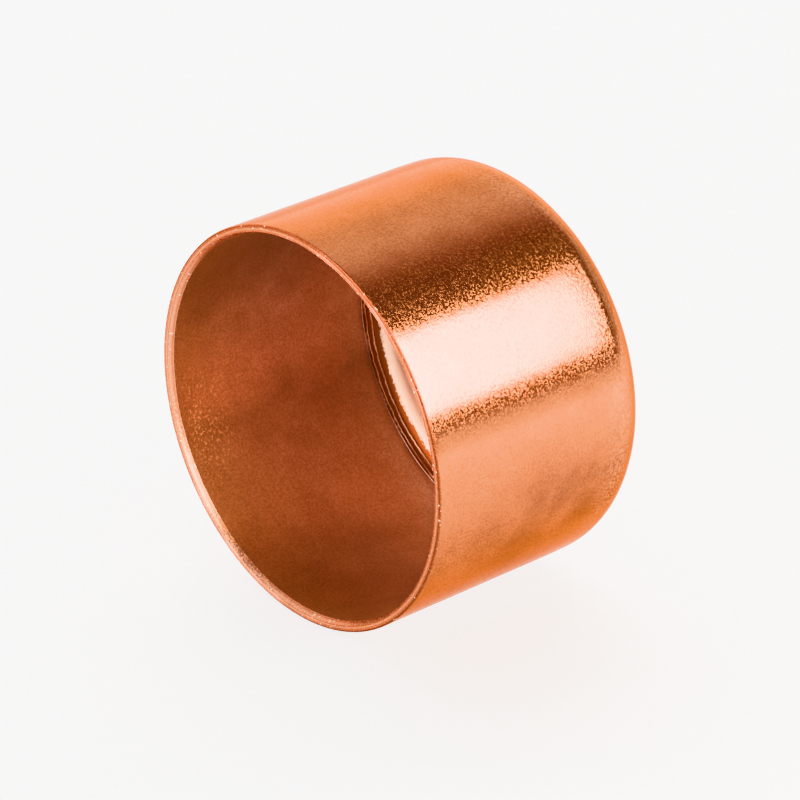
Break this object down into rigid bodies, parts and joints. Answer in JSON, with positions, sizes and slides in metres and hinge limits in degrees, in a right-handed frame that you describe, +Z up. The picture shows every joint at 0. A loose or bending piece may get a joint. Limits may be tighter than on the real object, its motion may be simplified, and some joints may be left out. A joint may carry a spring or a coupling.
{
  "type": "pipe cap",
  "caption": "Round copper cup with a plain socket, an internal tube stop and a flat closed end, soldered over the end of a tube to close it.",
  "frame": {"origin": "on the cap's axis, in the plane of the open mouth's rim", "axes": "+Y along the axis from the mouth to the closed end, +Z up with the cap lying on its side"},
  "size_m": [0.0444, 0.0297, 0.0444],
  "materials": {
    "copper": null
  },
  "bodies": {
    "root": {"cap_shell": "copper"}
  },
  "joints": []
}
